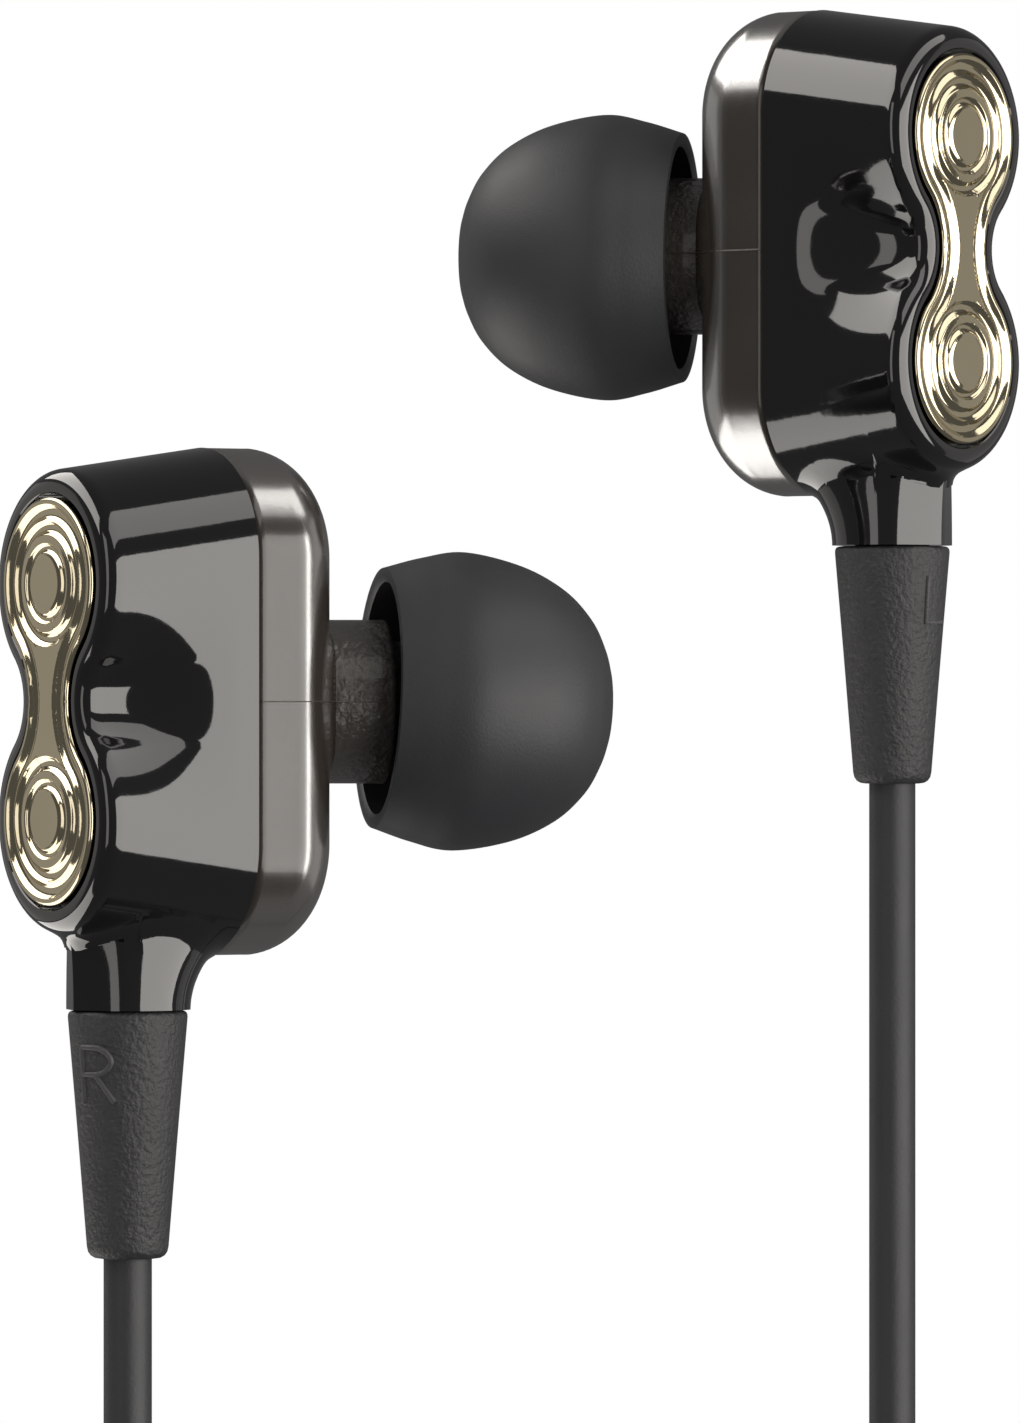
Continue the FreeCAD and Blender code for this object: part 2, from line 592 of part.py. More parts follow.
def all_pieces():
    pieces = {}
    for side in ("right", "left"):
        own = {"faceplate": faceplate(), "outer_shell": outer_shell(), "inner_shell": inner_shell(),
               "nozzle_mesh": nozzle_mesh(), "nozzle_foam": nozzle_foam(), "ear_tip": seated_tip(side),
               "strain_relief": strain_relief(), "cord_clamp": cord_clamp(), "driver_carrier": driver_carrier(),
               "terminal_board": terminal_board(), "signal_wires": signal_wires()}
        for level, height in (("upper", DRIVER_SPACING), ("lower", -DRIVER_SPACING)):
            for piece, shape in driver_pieces(height).items():
                own[f"{level}_{piece}"] = shape
        for piece, shape in own.items():
            pieces[f"{side}_{piece}"] = place(shape, side)
        branch = cord_tube(f"{side}_branch_cord", branch_route(side), CORD_RADIUS)
        pieces[f"{side}_branch_cord"] = branch.cut(coil_blank()).Solids[0]
    pieces["cord_coil"] = cord_coil()
    pieces["y_split"] = y_split()
    pieces["cord_slider"] = cord_slider()
    pieces["cable_tie"] = cable_tie()
    pieces["main_cord"] = main_cord()
    pieces.update(plug_pieces())
    return pieces


os.makedirs("parts", exist_ok=True)
for node, solid in all_pieces().items():
    shape = solid.Solids[0] if len(solid.Solids) == 1 else Part.makeCompound(solid.Solids)
    if not shape.isValid() or not shape.Solids:
        print("not valid:", node, len(shape.Solids))
    shape.exportStep(f"parts/{node}.step")
    box = shape.BoundBox
    print(f"{node:28s} solids {len(shape.Solids)} volume {shape.Volume:9.3f}  x {box.XMin:7.2f} {box.XMax:7.2f}"
          f"  y {box.YMin:7.2f} {box.YMax:7.2f}  z {box.ZMin:8.2f} {box.ZMax:7.2f}")
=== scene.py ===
"""In ear monitors: the finish of every surface, the cords and the studio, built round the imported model."""
import json
import math

import bmesh
import bpy
import numpy as np
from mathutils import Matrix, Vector


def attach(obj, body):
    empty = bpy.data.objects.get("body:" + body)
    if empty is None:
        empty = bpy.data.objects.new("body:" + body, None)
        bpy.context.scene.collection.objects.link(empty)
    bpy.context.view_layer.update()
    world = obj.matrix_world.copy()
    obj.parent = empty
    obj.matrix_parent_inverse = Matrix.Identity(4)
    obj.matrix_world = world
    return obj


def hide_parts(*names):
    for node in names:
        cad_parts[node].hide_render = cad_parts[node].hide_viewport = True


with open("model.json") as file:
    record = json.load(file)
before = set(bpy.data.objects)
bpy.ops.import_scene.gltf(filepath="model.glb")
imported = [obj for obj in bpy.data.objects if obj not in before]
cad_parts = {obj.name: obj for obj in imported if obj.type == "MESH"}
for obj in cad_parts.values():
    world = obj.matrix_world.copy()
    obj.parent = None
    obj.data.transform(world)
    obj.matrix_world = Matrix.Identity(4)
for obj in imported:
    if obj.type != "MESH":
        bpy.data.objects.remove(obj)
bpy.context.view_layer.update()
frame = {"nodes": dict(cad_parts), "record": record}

MM = 0.001
EARPHONES = "earphones"

# Lengths are in mm unless a name says otherwise.
# Where each earpiece stands. The earpiece's own frame is the model's: x from the faceplate to the ear,
# y sideways, z up. The left one is mirrored in x.
PLATE_CENTRE = {"right": (-16.76, -7.48, 0.0), "left": (21.64, 11.22, 19.48)}
YAW = {"right": 33.0, "left": -38.0}
TIP_SEAT = {"right": (3.0, -2.5, 3.45), "left": (-3.5, 0.5, 2.65)}
SIDES = ("right", "left")

# Casing
END_RADIUS, FRONT_SPACING, SEAM_SPACING = 4.65, 4.85, 5.9
WAIST_ARC, WAIST_DEPTH = 2.19, 6.3
SEAM, BACK, BACK_ROUNDING = 7.3, 11.9, 2.75
RIM_ROUNDING, WALL = 0.7, 0.9
PLATE_RADIUS, PLATE_PROUD, PLATE_RECESS, PLATE_GAP = 3.55, 0.2, 0.6, 0.17
CORD_RADIUS, CORD_DEPTH = 1.0, 3.75
BOSS_RADIUS, BOSS_END = 2.6, 12.72
RELIEF_TOP, RELIEF_LENGTH, RELIEF_TOP_RADIUS, RELIEF_END_RADIUS = 12.76, 10.24, 2.5, 1.65
CANT, COLLAR_RADIUS, COLLAR_LENGTH = 24.5, 3.42, 3.8
BARREL_RADIUS, BARREL_END, BORE_RADIUS = 2.5, 9.2, 1.9
BARB_RADIUS, BARB_MIDDLE = 2.75, 7.1
TIP_OUTLINE = ((0.0, 5.45), (1.65, 5.95), (3.4, 6.25), (5.8, 5.78),
               (7.6, 4.9), (8.75, 3.8), (9.35, 2.75), (9.62, 2.0))
TIP_SKIN = 0.62

# The cords
PAIR_X, PAIR_Y = 2.5, {"right": 2.95, "left": 5.05}
CORD_BEND_Z, PAIR_TOP_Z, PAIR_END_Z = -42.0, -61.0, -95.0
COIL_CENTRE = (18.5, 0.85, -110.15)
COIL_INNER, COIL_OUTER = 8.85, 15.15
SPLIT_Y, SPLIT_DROP, SPLIT_HALF = 4.0, 4.3, 5.0
MAIN_LAYERS = (0.85, -1.25, -3.35)
POINTS_PER_TURN = 16


# ---------------------------------------------------------------- materials

def material(name, base, roughness, metallic=0.0, grain=None, bump=0.0, coat=0.0, transmission=0.0,
             tint=None, tint_scale=20.0, ior=1.5):
    """A Principled material: grain is the size of its fine bump, tint a second colour in soft patches."""
    mat = bpy.data.materials.new(name)
    mat.use_nodes = True
    nodes, links = mat.node_tree.nodes, mat.node_tree.links
    shader = nodes["Principled BSDF"]
    shader.inputs["Base Color"].default_value = (*base, 1)
    shader.inputs["Roughness"].default_value = roughness
    shader.inputs["Metallic"].default_value = metallic
    shader.inputs["Coat Weight"].default_value = coat
    shader.inputs["Coat Roughness"].default_value = 0.04
    shader.inputs["Transmission Weight"].default_value = transmission
    shader.inputs["IOR"].default_value = ior
    place = nodes.new("ShaderNodeTexCoord")
    if tint:
        patches = nodes.new("ShaderNodeTexNoise")
        patches.inputs["Scale"].default_value = 1000 / tint_scale
        patches.inputs["Detail"].default_value = 4
        mix = nodes.new("ShaderNodeMix")
        mix.data_type = "RGBA"
        mix.inputs["A"].default_value = (*base, 1)
        mix.inputs["B"].default_value = (*tint, 1)
        links.new(place.outputs["Object"], patches.inputs["Vector"])
        links.new(patches.outputs["Fac"], mix.inputs["Factor"])
        links.new(mix.outputs["Result"], shader.inputs["Base Color"])
    smudges = nodes.new("ShaderNodeTexNoise")
    smudges.inputs["Scale"].default_value = 1000 / 3.0
    smudges.inputs["Detail"].default_value = 3
    spread = nodes.new("ShaderNodeMapRange")
    spread.inputs["To Min"].default_value = max(roughness * 0.85, 0.01)
    spread.inputs["To Max"].default_value = roughness * 1.15 + 0.01
    links.new(place.outputs["Object"], smudges.inputs["Vector"])
    links.new(smudges.outputs["Fac"], spread.inputs["Value"])
    links.new(spread.outputs["Result"], shader.inputs["Roughness"])
    if grain:
        fine = nodes.new("ShaderNodeTexNoise")
        fine.inputs["Scale"].default_value = 1000 / grain
        fine.inputs["Detail"].default_value = 5
        raised = nodes.new("ShaderNodeBump")
        raised.inputs["Strength"].default_value = bump
        raised.inputs["Distance"].default_value = grain * MM
        links.new(place.outputs["Object"], fine.inputs["Vector"])
        links.new(fine.outputs["Fac"], raised.inputs["Height"])
        links.new(raised.outputs["Normal"], shader.inputs["Normal"])
    return mat


def gold(name, base, tint):
    return material(name, base, 0.09, metallic=1.0, grain=0.5, bump=0.015, tint=tint, tint_scale=9)


MATERIALS = {
    "gold_plate": gold("champagne_gold", (0.72, 0.64, 0.46), (0.62, 0.54, 0.37)),
    "black_shell": material("piano_black", (0.004, 0.004, 0.004), 0.07, coat=1.0, grain=1.5, bump=0.01,
                            tint=(0.009, 0.009, 0.011)),
    "smoke_shell": material("smoke_see_through", (0.06, 0.05, 0.042), 0.2, transmission=0.45, coat=0.35,
                            grain=2.0, bump=0.01, tint=(0.045, 0.037, 0.031), tint_scale=5),
    "smoke_nozzle": material("smoke_grained", (0.085, 0.076, 0.07), 0.3, transmission=0.15, coat=0.2,
                             grain=0.35, bump=0.35, tint=(0.05, 0.043, 0.038), tint_scale=1.5),
    "silicone": material("silicone_dark_grey", (0.029, 0.031, 0.0345), 0.5, grain=0.12, bump=0.10,
                         tint=(0.034, 0.036, 0.039), tint_scale=6),
    "relief_rubber": material("grained_rubber", (0.022, 0.023, 0.025), 0.5, grain=0.22, bump=0.55,
                              tint=(0.042, 0.043, 0.045), tint_scale=0.8),
    "cord_jacket": material("cord_jacket", (0.026, 0.028, 0.031), 0.5, grain=0.15, bump=0.12,
                            tint=(0.033, 0.035, 0.038), tint_scale=3),
    "tie_strap": material("woven_strap", (0.02, 0.02, 0.02), 0.85, grain=0.3, bump=0.7, tint=(0.04, 0.04, 0.04),
                          tint_scale=1),
    "moulded_rubber": material("moulded_rubber", (0.02, 0.02, 0.021), 0.42, grain=0.2, bump=0.2,
                               tint=(0.028, 0.028, 0.028), tint_scale=3),
    "plug_shell": material("plug_shell", (0.012, 0.012, 0.012), 0.22, coat=0.4, grain=0.4, bump=0.04,
                           tint=(0.018, 0.018, 0.018)),
    "plug_contact": gold("plug_gold", (0.80, 0.58, 0.26), (0.72, 0.5, 0.2)),
    "insulator": material("insulator", (0.01, 0.01, 0.01), 0.5, grain=0.3, bump=0.1, tint=(0.02, 0.02, 0.02)),
    "guard_steel": material("guard_steel", (0.55, 0.55, 0.54), 0.3, metallic=1.0, grain=0.1, bump=0.2,
                            tint=(0.45, 0.45, 0.45)),
    "foam": material("damper_foam", (0.08, 0.08, 0.08), 0.9, grain=0.15, bump=0.9, tint=(0.03, 0.03, 0.03),
                     tint_scale=0.5),
    "carrier_plastic": material("carrier_plastic", (0.05, 0.045, 0.04), 0.5, grain=0.3, bump=0.1,
                                tint=(0.07, 0.06, 0.055)),
    "driver_steel": material("driver_steel", (0.5, 0.5, 0.5), 0.28, metallic=1.0, grain=0.2, bump=0.1,
                             tint=(0.4, 0.4, 0.41)),
    "soft_iron": material("soft_iron", (0.36, 0.36, 0.37), 0.35, metallic=1.0, grain=0.2, bump=0.15,
                          tint=(0.28, 0.28, 0.28)),
    "magnet": material("nickel_magnet", (0.6, 0.58, 0.55), 0.15, metallic=1.0, grain=0.5, bump=0.03,
                       tint=(0.5, 0.49, 0.47)),
    "copper": material("enamelled_copper", (0.7, 0.32, 0.16), 0.25, metallic=1.0, grain=0.2, bump=0.1,
                       tint=(0.55, 0.22, 0.1), tint_scale=1),
    "diaphragm_film": material("diaphragm_film", (0.6, 0.58, 0.52), 0.2, coat=0.4, grain=0.6, bump=0.05,
                               tint=(0.5, 0.48, 0.43)),
    "board": material("terminal_board", (0.03, 0.16, 0.07), 0.35, coat=0.3, grain=0.3, bump=0.05,
                      tint=(0.02, 0.1, 0.05), tint_scale=2),
    "mark": material("side_mark", (0.05, 0.05, 0.052), 0.5, grain=0.2, bump=0.3, tint=(0.07, 0.07, 0.072)),
}
SLOT_OF = {row["node"]: row["material_slot"] for row in frame["record"]["subparts"]}


# ---------------------------------------------------------------- mesh helpers

def placed(points, side):
    """Points (mm) from an earpiece's own frame to the row frame, in metres."""
    p = np.array(points, dtype=float)
    if side == "left":
        p[:, 0] *= -1
    angle = math.radians(YAW[side])
    c, s = math.cos(angle), math.sin(angle)
    x, y = c * p[:, 0] - s * p[:, 1], s * p[:, 0] + c * p[:, 1]
    return (np.stack([x, y, p[:, 2]], axis=1) + np.array(PLATE_CENTRE[side])) * MM


def make_mesh(name, points, faces, slot_name, body=EARPHONES, flip=False, sharp=40, grained_from=None):
    """A mesh object of points in metres, smooth but for edges sharper than an angle, riding on a body."""
    mesh = bpy.data.meshes.new(name)
    faces = [tuple(reversed(face)) for face in faces] if flip else [tuple(face) for face in faces]
    mesh.from_pydata([tuple(point) for point in points], [], faces)
    mesh.validate()
    mesh.shade_smooth()
    mesh.set_sharp_from_angle(angle=math.radians(sharp))
    piece = bpy.data.objects.new(name, mesh)
    bpy.context.scene.collection.objects.link(piece)
    mesh.materials.append(MATERIALS[slot_name])
    if grained_from is not None:
        mesh.materials.append(MATERIALS["smoke_nozzle"])
        for face in mesh.polygons:
            face.material_index = int(grained_from[0] <= min(face.vertices) < grained_from[1])
    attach(piece, body)
    return piece


def grid_faces(rows, columns, offset=0):
    """Quads of a grid of rows, each a closed loop of columns."""
    faces = []
    for row in range(rows - 1):
        for column in range(columns):
            after = (column + 1) % columns
            low, high = offset + row * columns, offset + (row + 1) * columns
            faces.append((low + column, low + after, high + after, high + column))
    return faces


def turned_points(profile, columns=128):
    """Loops of points about the x axis from a profile of (x, radius)."""
    angles = np.linspace(0, 2 * math.pi, columns, endpoint=False)
    loops = []
    for x, radius in profile:
        loops.append(np.stack([np.full(columns, x), radius * np.cos(angles), radius * np.sin(angles)], axis=1))
    return np.concatenate(loops)


def smooth_line(points, steps):
    """A Catmull-Rom line through points, each span in steps."""
    p = [np.array(point, dtype=float) for point in points]
    p = [2 * p[0] - p[1]] + p + [2 * p[-1] - p[-2]]
    line = []
    for a, b, c, d in zip(p, p[1:], p[2:], p[3:]):
        for t in np.arange(steps) / steps:
            line.append(0.5 * (2 * b + (c - a) * t + (2 * a - 5 * b + 4 * c - d) * t ** 2
                               + (3 * b - a - 3 * c + d) * t ** 3))
    line.append(p[-2])
    return line


def rounded(corner, before, after, radius, steps=5):
    """Points of a small round at a corner of a profile."""
    corner, before, after = (np.array(q, dtype=float) for q in (corner, before, after))
    way_in = (before - corner) / np.linalg.norm(before - corner)
    way_out = (after - corner) / np.linalg.norm(after - corner)
    start, end = corner + way_in * radius, corner + way_out * radius
    t = np.linspace(0, 1, steps)[:, None]
    return list((1 - t) ** 2 * start + 2 * t * (1 - t) * corner + t ** 2 * end)


def round_profile(corners, radii):
    """A profile of corners, each rounded by its own radius (0 leaves it sharp)."""
    points = [np.array(corners[0], dtype=float)]
    for index in range(1, len(corners) - 1):
        if radii[index]:
            points += rounded(corners[index], corners[index - 1], corners[index + 1], radii[index])
        else:
            points.append(np.array(corners[index], dtype=float))
    return points + [np.array(corners[-1], dtype=float)]


# ---------------------------------------------------------------- casing

def spacing_at(depth):
    return FRONT_SPACING + (SEAM_SPACING - FRONT_SPACING) * np.clip(depth, 0, SEAM) / SEAM


def half_width(height, depth, inset=0.0):
    """Half the casing's width at heights and depths, inside an offset of its outline."""
    spacing = spacing_at(depth)
    radius, arc = END_RADIUS - inset, WAIST_ARC + inset
    above = np.minimum(np.abs(height), spacing)
    arc_centre = np.sqrt((END_RADIUS + WAIST_ARC) ** 2 - spacing ** 2)
    tangent = spacing * arc / (radius + arc)
    hollow = arc_centre - np.sqrt(np.maximum(arc ** 2 - np.minimum(above, tangent) ** 2, 0))
    crown = np.sqrt(np.maximum(radius ** 2 - (above - spacing) ** 2, 0))
    pinched = np.where(above < tangent, hollow, crown)
    fade = np.cos(math.pi / 2 * np.clip(depth / WAIST_DEPTH, 0, 1)) ** 2
    return radius - fade * (radius - pinched)


def outline(depth, inset, columns=240):
    """The casing's outline at one depth, as (y, z), evenly spread."""
    spacing = float(spacing_at(depth))
    radius = END_RADIUS - inset
    quarter = columns // 4
    ends = int(quarter * 0.58)
    angles = np.linspace(0, math.pi / 2, ends, endpoint=False)
    arc = np.stack([radius * np.sin(angles), spacing + radius * np.cos(angles)], axis=1)
    heights = np.linspace(spacing, 0, quarter - ends, endpoint=False)
    side = np.stack([half_width(heights, np.full(len(heights), depth), inset), heights], axis=1)
    first = np.concatenate([arc, side])
    waist = np.array([[float(half_width(np.array(0.0), np.array(float(depth)), inset)), 0.0]])
    down = np.concatenate([waist, first[:0:-1] * [1, -1]])
    right = np.concatenate([first, down])
    return np.concatenate([right, -right])


def section_distance(p):
    """How far points lie outside the casing's outline at their own depth."""
    spacing = spacing_at(p[:, 0])
    above = np.abs(p[:, 2])
    beyond = np.hypot(p[:, 1], above - spacing) - END_RADIUS
    beside = np.abs(p[:, 1]) - half_width(p[:, 2], p[:, 0])
    return np.where(above >= spacing, beyond, beside)


def rounded_meet(a, b, radius):
    """The distance to where two half spaces meet with a round edge."""
    qa, qb = a + radius, b + radius
    outside = np.hypot(np.maximum(qa, 0), np.maximum(qb, 0))
    return outside + np.minimum(np.maximum(qa, qb), 0) - radius


def soft_union(a, b, blend):
    share = np.clip(0.5 + 0.5 * (b - a) / blend, 0, 1)
    return b * (1 - share) + a * share - blend * share * (1 - share)


def boss_field(p):
    """The cable boss: round at its foot and flared towards the seam where it leaves the shell."""
    climb = np.clip((p[:, 2] + BOSS_END) / 2.2, 0, 1.5) ** 2
    along, across = p[:, 0] - CORD_DEPTH - 0.45 * climb, p[:, 1] / (BOSS_RADIUS + 0.06 * climb)
    return (np.hypot(along / (BOSS_RADIUS + 0.52 * climb), across) - 1) * BOSS_RADIUS


def outer_field(p):
    return soft_union(rounded_meet(section_distance(p), -p[:, 0], RIM_ROUNDING), boss_field(p), 0.6)


NOZZLE_ROOT = np.array([BACK, 0, 0])
NOZZLE_WAY = np.array([math.cos(math.radians(CANT)), -math.sin(math.radians(CANT)), 0])


def collar_field(p):
    away = p - NOZZLE_ROOT
    along = away @ NOZZLE_WAY
    return np.linalg.norm(away - along[:, None] * NOZZLE_WAY, axis=1) - COLLAR_RADIUS


def inner_field(p):
    return soft_union(rounded_meet(section_distance(p), p[:, 0] - BACK, BACK_ROUNDING), collar_field(p), 0.8)


def settled(points, field, rounds=8, free=(1, 1, 1)):
    """Moves points down a field's slope until they lie on its surface."""
    p = points.copy()
    step = 1e-3
    for _ in range(rounds):
        value = field(p)
        rises = [(field(p + step * axis) - field(p - step * axis)) / (2 * step) for axis in np.eye(3)]
        slope = np.stack(rises, axis=1)
        slope *= free
        size = np.maximum((slope ** 2).sum(axis=1), 0.05)
        p -= np.clip(value / size, -0.5, 0.5)[:, None] * slope
    return p


def outer_shell(side):
    """The black casing: its skin from the seam to the recess, the cable boss grown out of its foot."""
    columns = 240
    depths = list(np.linspace(SEAM - 0.04, RIM_ROUNDING, 46))
    loops = [np.column_stack([np.full(columns, d), outline(d, 0)]) for d in depths]
    for degrees in np.linspace(12, 90, 8):
        s, c = math.sin(math.radians(degrees)), math.cos(math.radians(degrees))
        depth, inset = RIM_ROUNDING * (1 - s), RIM_ROUNDING * (1 - c)
        loops.append(np.column_stack([np.full(columns, depth), outline(depth, inset)]))
    lip = END_RADIUS - PLATE_RADIUS - PLATE_GAP
    for depth, inset in ((0.0, lip - 0.05), (0.05, lip), (PLATE_RECESS, lip), (PLATE_RECESS, lip + 0.3)):
        loops.append(np.column_stack([np.full(columns, depth), outline(0, inset)]))
    first, last, half = 8, 34, 26
    bottom = columns // 2
    grid = np.array(loops)
    body_rows = len(depths)
    flat = grid[:body_rows].reshape(-1, 3)
    lower = flat[:, 2] < -5.5
    flat[lower] = settled(flat[lower], outer_field, free=(0, 1, 1))
    grid[:body_rows] = flat.reshape(body_rows, columns, 3)
    points = list(grid.reshape(-1, 3))
    hole = {(row, bottom + column) for row in range(first, last) for column in range(-half, half)}
    faces = []
    for row in range(len(loops) - 1):
        for column in range(columns):
            if (row, column) in hole:
                continue
            after = (column + 1) % columns
            faces.append((row * columns + column, row * columns + after, (row + 1) * columns + after,
                          (row + 1) * columns + column))
    edge = [(first, bottom + column) for column in range(-half, half)]
    edge += [(row, bottom + half) for row in range(first, last)]
    edge += [(last, bottom - column) for column in range(-half, half)]
    edge += [(last - row, bottom - half) for row in range(last - first)]
    loop = [row * columns + column for row, column in edge]
    start = np.array([points[index] for index in loop])
    around = np.arctan2(start[:, 1], start[:, 0] - CORD_DEPTH)
    foot = np.stack([CORD_DEPTH + BOSS_RADIUS * np.cos(around), BOSS_RADIUS * np.sin(around),
                     np.full(len(loop), -BOSS_END)], axis=1)
    steps = 26
    previous = loop
    for step in range(1, steps + 1):
        t = step / steps
        ring = start * (1 - t) + foot * t
        ring[:, 2] = start[:, 2] * (1 - t) ** 1.5 + foot[:, 2] * (1 - (1 - t) ** 1.5)
        if step < steps:
            ring = settled(ring, outer_field)
            near_foot = np.clip((t - 0.8) / 0.2, 0, 1)
            ring = ring * (1 - near_foot) + (foot + [0, 0, (1 - t) * 3.4]) * near_foot
        current = list(range(len(points), len(points) + len(loop)))
        points += list(ring)
        for index in range(len(loop)):
            after = (index + 1) % len(loop)
            faces.append((previous[index], previous[after], current[after], current[index]))
        previous = current
    for radius, drop in ((BOSS_RADIUS - 0.12, BOSS_END), (1.7, BOSS_END - 0.02), (1.65, BOSS_END - 1.5)):
        ring = foot.copy()
        ring[:, :2] = (ring[:, :2] - [CORD_DEPTH, 0]) * radius / BOSS_RADIUS + [CORD_DEPTH, 0]
        ring[:, 2] = -drop
        current = list(range(len(points), len(points) + len(loop)))
        points += list(ring)
        for index in range(len(loop)):
            after = (index + 1) % len(loop)
            faces.append((previous[index], previous[after], current[after], current[index]))
        previous = current
    piece = make_mesh(f"{side}_outer_casing", placed(points, side), faces, "black_shell",
                      flip=side == "right")
    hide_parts(f"{side}_outer_shell")


def inner_shell(side):
    """The smoke casing: from the seam over its rounded back to the nozzle, and its wall's inner face."""
    columns = 240
    straight = np.linspace(SEAM + 0.02, BACK - BACK_ROUNDING, 12)
    skin = [np.column_stack([np.full(columns, depth), outline(SEAM, 0.02)]) for depth in straight]
    skin[0] = np.column_stack([np.full(columns, SEAM + 0.02), outline(SEAM, 0.14)])
    for degrees in np.linspace(6, 90, 22):
        s, c = math.sin(math.radians(degrees)), math.cos(math.radians(degrees))
        depth, across = BACK - BACK_ROUNDING * (1 - s), BACK_ROUNDING * (1 - c)
        skin.append(np.column_stack([np.full(columns, depth), outline(SEAM, across)]))
    side_way = np.array([-NOZZLE_WAY[1], NOZZLE_WAY[0], 0])
    edge = outline(SEAM, 0)
    around = np.arctan2(edge[:, 0], edge[:, 1])
    circle = np.outer(np.sin(around), side_way) + np.outer(np.cos(around), [0, 0, 1])
    base = skin[-1]
    for step in range(1, 15):
        t = step / 15
        target = NOZZLE_ROOT + 0.9 * NOZZLE_WAY + circle * COLLAR_RADIUS
        skin.append(base * (1 - t) + target * t)
    count = len(skin)
    flat = np.concatenate(skin[12:])
    flat = settled(flat, inner_field)
    skin = skin[:12] + list(flat.reshape(count - 12, columns, 3))
    grained_start = (len(skin) - 6) * columns
    barb = [(6.5, BARREL_RADIUS), (6.6, BARB_RADIUS), (7.6, BARREL_RADIUS)]
    corners = [(0.95, COLLAR_RADIUS), (COLLAR_LENGTH, COLLAR_RADIUS), (COLLAR_LENGTH, BARREL_RADIUS)] + barb
    corners += [(BARREL_END, BARREL_RADIUS), (BARREL_END, BORE_RADIUS), (0.5, BORE_RADIUS), (-0.7, BORE_RADIUS)]
    nozzle = round_profile(corners, [0, 0.18, 0.1, 0, 0, 0, 0.1, 0.1, 0, 0])
    for along, radius in nozzle:
        skin.append(NOZZLE_ROOT + along * NOZZLE_WAY + circle * radius)
    grained_end = len(skin) * columns
    inside = []
    for degrees in np.linspace(90, 0, 12):
        s, c = math.sin(math.radians(degrees)), math.cos(math.radians(degrees))
        rounding = BACK_ROUNDING - WALL
        inside.append(np.column_stack([np.full(columns, BACK - WALL - rounding * (1 - s)),
                                       outline(SEAM, WALL + rounding * (1 - c))]))
    inside.append(np.column_stack([np.full(columns, SEAM + 0.02), outline(SEAM, WALL)]))
    inside.append(skin[0].copy())
    loops = skin + inside
    faces = grid_faces(len(loops), columns)
    piece = make_mesh(f"{side}_inner_casing", placed(np.concatenate(loops), side), faces, "smoke_shell",
                      flip=side == "left", grained_from=(grained_start, grained_end))
    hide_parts(f"{side}_inner_shell")
    mould_seam(side)


def mould_seam(side):
    """The fine raised line at half height that runs over the smoke casing and along its nozzle."""
    side_way = np.array([-NOZZLE_WAY[1], NOZZLE_WAY[0], 0])
    guess = [(depth, -END_RADIUS, 0) for depth in np.linspace(SEAM + 0.1, 9.2, 8)]
    guess += [(9.6, -4.6, 0), (10.2, -4.4, 0), (10.8, -4.2, 0), (11.2, -4.0, 0)]
    beside = NOZZLE_ROOT - COLLAR_RADIUS * side_way
    guess += [beside + along * NOZZLE_WAY for along in np.linspace(0.2, 3.5, 9)]
    line_points = settled(np.array(guess, dtype=float), inner_field, free=(1, 1, 0))
    curve = bpy.data.curves.new(f"{side}_mould_seam", "CURVE")
    curve.dimensions = "3D"
    curve.bevel_depth = 0.028 * MM
    curve.use_fill_caps = True
    line = curve.splines.new("POLY")
    line.points.add(len(line_points) - 1)
    for point, place in zip(line.points, placed(line_points, side)):
        point.co = (*place, 1)
    piece = bpy.data.objects.new(f"{side}_mould_seam", curve)
    bpy.context.scene.collection.objects.link(piece)
    curve.materials.append(MATERIALS["smoke_nozzle"])
    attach(piece, EARPHONES)


# ---------------------------------------------------------------- faceplate

def plate_edge_distance(y, z):
    """How far a point of the faceplate lies inside its outline."""
    y, z = np.abs(y), np.abs(z)
    waist = END_RADIUS + WAIST_ARC - PLATE_RADIUS
    centre = math.sqrt((END_RADIUS + WAIST_ARC) ** 2 - FRONT_SPACING ** 2)
    in_waist = z * centre < (centre - y) * FRONT_SPACING
    return np.where(in_waist, np.hypot(y - centre, z) - waist, PLATE_RADIUS - np.hypot(y, z - FRONT_SPACING))


def eased(value, low, high):
    t = np.clip((value - low) / (high - low), 0, 1)
    return t * t * (3 - 2 * t)


def plate_height(y, z):
    """The relief of the faceplate: a lip, a polished channel along the edge, an island and turned rings."""
    inside = plate_edge_distance(y, z)
    middle = np.hypot(y, np.abs(z) - FRONT_SPACING)
    height = PLATE_PROUD - 0.10 * (1 - np.clip(inside / 0.16, 0, 1)) ** 2
    across = np.clip((inside - 0.26) / 0.72, 0, 1)
    channel = np.sin(math.pi * across) * 0.2
    height = height - channel
    for inner, outer, deep in ((2.02, 2.6, 0.2), (1.28, 1.66, 0.14)):
        across = np.clip((middle - inner) / (outer - inner), 0, 1)
        height = height - deep * np.sin(math.pi * across) ** 0.8
    terrace = 0.04 * (1 - eased(middle, 1.7, 2.05)) + 0.05 * (1 - eased(middle, 1.08, 1.28))
    return height + terrace - 0.03


